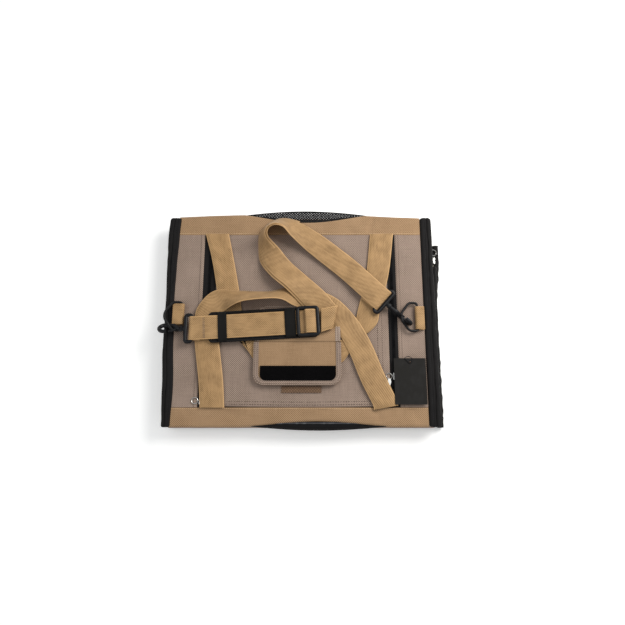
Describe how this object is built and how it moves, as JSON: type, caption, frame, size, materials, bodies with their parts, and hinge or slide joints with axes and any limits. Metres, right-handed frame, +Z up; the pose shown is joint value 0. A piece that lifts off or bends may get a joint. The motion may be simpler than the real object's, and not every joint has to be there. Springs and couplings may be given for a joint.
{
  "type": "folding pet carrier",
  "caption": "Soft-sided pet carrier folded flat, with webbing handles, zipped top door, end doors and a hooked shoulder strap lying on top.",
  "frame": {"origin": "on the floor under the middle of the folded carrier", "axes": "+X along the length to the right end, +Y to the rear, +Z up"},
  "size_m": [0.45, 0.359, 0.0664],
  "materials": {
    "taupe_fabric": "matt woven polyester, taupe, fine two-tone weave",
    "tan_fabric": "matt woven polyester, tan, two-tone",
    "tan_webbing": "flat woven webbing, diagonal rib",
    "black_fabric": "black polyester binding, board cover and zip tape",
    "black_mesh": "black polyester mesh",
    "black_padding": "black padded nylon",
    "hook_and_loop": "black hook-and-loop tape",
    "plush": "short-pile plush",
    "stiff_board": "stiffening board",
    "spring_wire": "spring steel wire",
    "black_metal": "black lacquered steel wire",
    "black_plastic": "black acetal",
    "silver_metal": "nickel-plated zinc",
    "tag_card": "dark coated card",
    "brown_leatherette": "brown leatherette label, blank"
  },
  "bodies": {
    "base": {"base_cover": "black_fabric", "base_board": "stiff_board", "plush_mat": "plush", "front_base_piping": "black_fabric", "rear_base_piping": "black_fabric"},
    "rear_wall_lower": {"rear_wall_lower_panel": "taupe_fabric", "rear_wall_lower_mesh": "black_mesh"},
    "rear_wall_upper": {"rear_wall_upper_panel": "taupe_fabric", "rear_wall_upper_mesh": "black_mesh"},
    "top": {"top_frame_wire": "spring_wire", "front_strip": "tan_fabric", "rear_strip": "tan_fabric", "left_border_panel": "taupe_fabric", "right_border_panel": "taupe_fabric", "left_zip_tape": "black_fabric", "right_zip_tape": "black_fabric", "top_door": "taupe_fabric", "left_binding": "black_fabric", "right_binding": "black_fabric", "brown_label": "brown_leatherette", "rear_window_rim": "black_mesh", "front_window_rim": "black_mesh", "rear_handle": "tan_webbing", "front_handle": "tan_webbing", "handle_wrap_sleeve": "tan_fabric", "left_ring_tab": "tan_webbing", "right_ring_tab": "tan_webbing", "strap_padded_webbing": "tan_webbing", "strap_slider": "black_plastic", "strap_slider_bar": "black_plastic", "strap_long_webbing": "tan_webbing"},
    "front_wall_lower": {"front_wall_lower_panel": "taupe_fabric", "front_wall_lower_mesh": "black_mesh"},
    "front_wall_upper": {"front_wall_upper_panel": "taupe_fabric", "front_wall_upper_mesh": "black_mesh"},
    "left_end": {"left_end_frame": "black_fabric", "left_end_mesh": "black_mesh"},
    "right_end": {"right_end_frame": "black_fabric", "right_end_mesh": "black_mesh", "right_end_rope": "black_fabric", "right_end_zip_slider": "silver_metal"},
    "right_end_pull": {"right_end_pull_ring": "silver_metal"},
    "left_zip": {"left_zip_slider": "silver_metal"},
    "left_pull": {"left_pull_ring": "silver_metal"},
    "right_zip": {"right_zip_slider": "silver_metal"},
    "right_pull": {"right_pull_ring": "silver_metal"},
    "wrap_flap": {"handle_wrap_flap": "tan_fabric", "hook_and_loop_strip": "hook_and_loop"},
    "left_ring": {"left_d_ring": "black_metal"},
    "right_ring": {"right_d_ring": "black_metal", "right_hook_jaw": "black_plastic", "right_hook_frame": "black_plastic"},
    "left_hook": {"left_hook_jaw": "black_plastic", "left_hook_frame": "black_plastic"},
    "left_gate": {"left_hook_gate": "silver_metal"},
    "right_gate": {"right_hook_gate": "silver_metal"},
    "pad": {"shoulder_pad": "black_padding", "left_pad_keeper": "black_padding", "right_pad_keeper": "black_padding"},
    "tag": {"hang_tag_card": "tag_card"}
  },
  "joints": [
    {"name": "unfold", "type": "hinge", "parent": "base", "child": "rear_wall_lower", "pos_m": [0, 0.168, 0.01975], "axis": [-1, 0, 0], "range_deg": [0, 90]},
    {"name": "rear_wall_straighten", "type": "hinge", "parent": "rear_wall_lower", "child": "rear_wall_upper", "pos_m": [0, 0.018, 0.02375], "axis": [1, 0, 0], "range_deg": [0, 180]},
    {"name": "top_level", "type": "hinge", "parent": "rear_wall_upper", "child": "top", "pos_m": [0, 0.168, 0.02775], "axis": [-1, 0, 0], "range_deg": [0, 90]},
    {"name": "front_wall_raise", "type": "hinge", "parent": "base", "child": "front_wall_lower", "pos_m": [0, -0.168, 0.01975], "axis": [1, 0, 0], "range_deg": [0, 90]},
    {"name": "front_wall_straighten", "type": "hinge", "parent": "front_wall_lower", "child": "front_wall_upper", "pos_m": [0, -0.018, 0.02375], "axis": [-1, 0, 0], "range_deg": [0, 180]},
    {"name": "left_end_raise", "type": "hinge", "parent": "base", "child": "left_end", "pos_m": [-0.214, 0, 0.0049], "axis": [0, 1, 0], "range_deg": [0, 270]},
    {"name": "right_end_raise", "type": "hinge", "parent": "base", "child": "right_end", "pos_m": [0.219, 0, 0.0042], "axis": [0, -1, 0], "range_deg": [0, 270]},
    {"name": "right_end_pull_flip", "type": "hinge", "parent": "right_end", "child": "right_end_pull", "pos_m": [0.219, 0.1126, 0.01], "axis": [1, 0, 0], "range_deg": [0, 90]},
    {"name": "left_zip_run", "type": "slide", "parent": "top", "child": "left_zip", "axis": [0, 1, 0], "range_m": [0, 0.255]},
    {"name": "right_zip_run", "type": "slide", "parent": "top", "child": "right_zip", "axis": [0, 1, 0], "range_m": [-0.04, 0.114]},
    {"name": "left_pull_flip", "type": "hinge", "parent": "left_zip", "child": "left_pull", "pos_m": [-0.1586, -0.132, 0.0343], "axis": [0, 1, 0], "range_deg": [0, 85]},
    {"name": "right_pull_flip", "type": "hinge", "parent": "right_zip", "child": "right_pull", "pos_m": [0.1409, -0.094, 0.0343], "axis": [0, 1, 0], "range_deg": [0, 90]},
    {"name": "wrap_flap_lift", "type": "hinge", "parent": "top", "child": "wrap_flap", "pos_m": [0, -0.0406, 0.0409], "axis": [-1, 0, 0], "range_deg": [0, 85]},
    {"name": "left_ring_swing", "type": "hinge", "parent": "top", "child": "left_ring", "pos_m": [-0.19, 0.001, 0.038], "axis": [0, 1, 0], "range_deg": [0, 5]},
    {"name": "right_ring_swing", "type": "hinge", "parent": "top", "child": "right_ring", "pos_m": [0.1835, 0, 0.0376], "axis": [0, 1, 0], "range_deg": [0, 40], "deforming": ["strap_long_webbing"]},
    {"name": "left_hook_lift", "type": "hinge", "parent": "top", "child": "left_hook", "pos_m": [-0.214, -0.02, 0.0436], "axis": [0, -1, 0], "range_deg": [0, 6], "deforming": ["strap_padded_webbing"]},
    {"name": "left_gate_open", "type": "hinge", "parent": "left_hook", "child": "left_gate", "pos_m": [-0.1975, -0.02291, 0.04604], "axis": [0, -0.6428, -0.766], "range_deg": [0, 12], "stiffness_Nm_per_rad": 0.02, "springref_deg": -17.19},
    {"name": "right_gate_open", "type": "hinge", "parent": "right_ring", "child": "right_gate", "pos_m": [0.15236, 0.00509, 0.046], "axis": [0.66, 0.7513, 0], "range_deg": [0, 12], "stiffness_Nm_per_rad": 0.02, "springref_deg": -17.19},
    {"name": "pad_slide", "type": "slide", "parent": "top", "child": "pad", "axis": [0.9982, 0.0593, 0], "range_m": [-0.008, 0.0015]},
    {"name": "tag_lift", "type": "hinge", "parent": "top", "child": "tag", "pos_m": [0.168, -0.0665, 0.0379], "axis": [-1, 0, 0], "range_deg": [0, 110]}
  ],
  "couplings": [
    {"joint": "rear_wall_straighten", "follows": "unfold", "ratio": 2},
    {"joint": "top_level", "follows": "unfold", "ratio": 1},
    {"joint": "front_wall_raise", "follows": "unfold", "ratio": 1},
    {"joint": "front_wall_straighten", "follows": "unfold", "ratio": 2},
    {"joint": "left_end_raise", "follows": "unfold", "ratio": 3}
  ]
}
